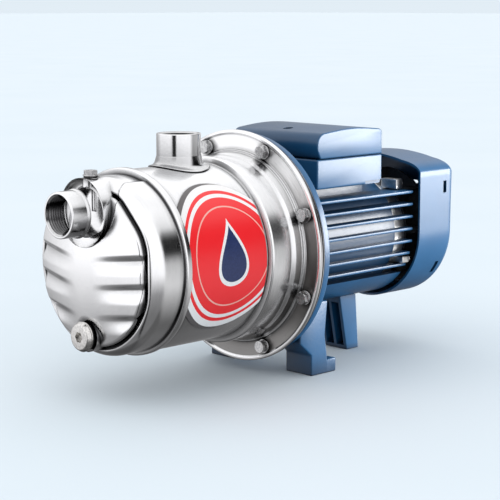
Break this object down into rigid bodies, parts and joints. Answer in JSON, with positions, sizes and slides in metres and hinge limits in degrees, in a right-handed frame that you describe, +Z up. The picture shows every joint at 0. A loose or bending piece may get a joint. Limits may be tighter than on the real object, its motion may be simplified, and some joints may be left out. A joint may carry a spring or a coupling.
{
  "type": "shallow well jet pump",
  "caption": "Electric water pump: stainless barrel with front suction and top discharge ports, bolted flange, blue finned motor with terminal box and fan cover.",
  "frame": {"origin": "on the floor, under the middle of the overall length and width; the shaft axis is 110 mm above it", "axes": "+X along the shaft from the suction port to the fan cover, +Z up, +Y to the left seen from the suction side towards the motor"},
  "size_m": [0.41, 0.2, 0.211],
  "materials": {
    "stainless": "brushed stainless steel, bright",
    "zinc_steel": "zinc plated, satin",
    "plug_steel": "nickel plated brass, polished",
    "brass": "cast brass, satin",
    "black_rubber": "matt black rubber",
    "red_film": "red printed film, satin",
    "dark_plastic": "dark glass-filled plastic",
    "ceramic": "ground ceramic",
    "blue_paint": "blue paint, semi gloss",
    "blue_casting": "die cast aluminium, painted blue, semi gloss",
    "bare_aluminium": "die cast, machined bright",
    "electrical_steel": "laminated steel, varnished",
    "copper_winding": "enamelled copper, varnished",
    "pale_plastic": "cream moulded plastic"
  },
  "bodies": {
    "root": {"front_casing": "stainless", "pump_barrel": "stainless", "suction_port": "stainless", "discharge_port": "stainless", "seal_plate": "stainless", "flange_bolt_1": "zinc_steel", "flange_bolt_2": "zinc_steel", "flange_bolt_3": "zinc_steel", "flange_bolt_4": "zinc_steel", "flange_bolt_5": "zinc_steel", "flange_bolt_6": "zinc_steel", "flange_bolt_7": "zinc_steel", "flange_bolt_8": "zinc_steel", "lid_screw_1": "zinc_steel", "lid_screw_2": "zinc_steel", "end_shield_screw_1": "zinc_steel", "end_shield_screw_2": "zinc_steel", "end_shield_screw_3": "zinc_steel", "end_shield_screw_4": "zinc_steel", "front_bearing": "zinc_steel", "rear_bearing": "zinc_steel", "jet_nozzle": "brass", "flange_gasket": "black_rubber", "side_label": "red_film", "jet_body": "dark_plastic", "venturi_tube": "dark_plastic", "diffuser": "dark_plastic", "cable_gland": "dark_plastic", "cable_gland_nut": "dark_plastic", "seal_fixed_seat": "ceramic", "motor_bracket": "blue_casting", "motor_housing": "blue_casting", "rear_foot": "blue_paint", "terminal_box": "blue_paint", "terminal_box_lid": "blue_paint", "fan_cover": "blue_paint", "rear_end_shield": "bare_aluminium", "stator_core": "electrical_steel", "winding_front": "copper_winding", "winding_rear": "copper_winding", "terminal_block": "pale_plastic", "capacitor": "pale_plastic"},
    "rotor": {"shaft": "zinc_steel", "rotor_core": "electrical_steel", "impeller": "brass", "impeller_nut": "zinc_steel", "seal_rotating_ring": "dark_plastic", "cooling_fan": "dark_plastic"},
    "priming_seal": {"priming_plug_washer": "black_rubber"},
    "priming_screw": {"priming_plug": "zinc_steel"},
    "drain_seal": {"drain_plug_washer": "black_rubber"},
    "drain_screw": {"drain_plug": "plug_steel"}
  },
  "joints": [
    {"name": "shaft_spin", "type": "hinge", "parent": "root", "child": "rotor", "pos_m": [-0.011, 0, 0.11], "axis": [1, 0, 0], "continuous": true},
    {"name": "priming_turn", "type": "hinge", "parent": "root", "child": "priming_seal", "pos_m": [-0.1725, 0, 0.1812], "axis": [0, 0, 1], "range_deg": [0, 2592]},
    {"name": "priming_lift", "type": "slide", "parent": "priming_seal", "child": "priming_screw", "axis": [0, 0, 1], "range_m": [0, 0.00901]},
    {"name": "drain_turn", "type": "hinge", "parent": "root", "child": "drain_seal", "pos_m": [-0.18, 0, 0.055], "axis": [-1, 0, 0], "range_deg": [0, 2692.6]},
    {"name": "drain_lift", "type": "slide", "parent": "drain_seal", "child": "drain_screw", "axis": [-1, 0, 0], "range_m": [0, 0.01001]}
  ],
  "couplings": [
    {"joint": "priming_lift", "follows": "priming_turn", "m_per_rad": 0.00019894},
    {"joint": "drain_lift", "follows": "drain_turn", "m_per_rad": 0.00021279}
  ]
}
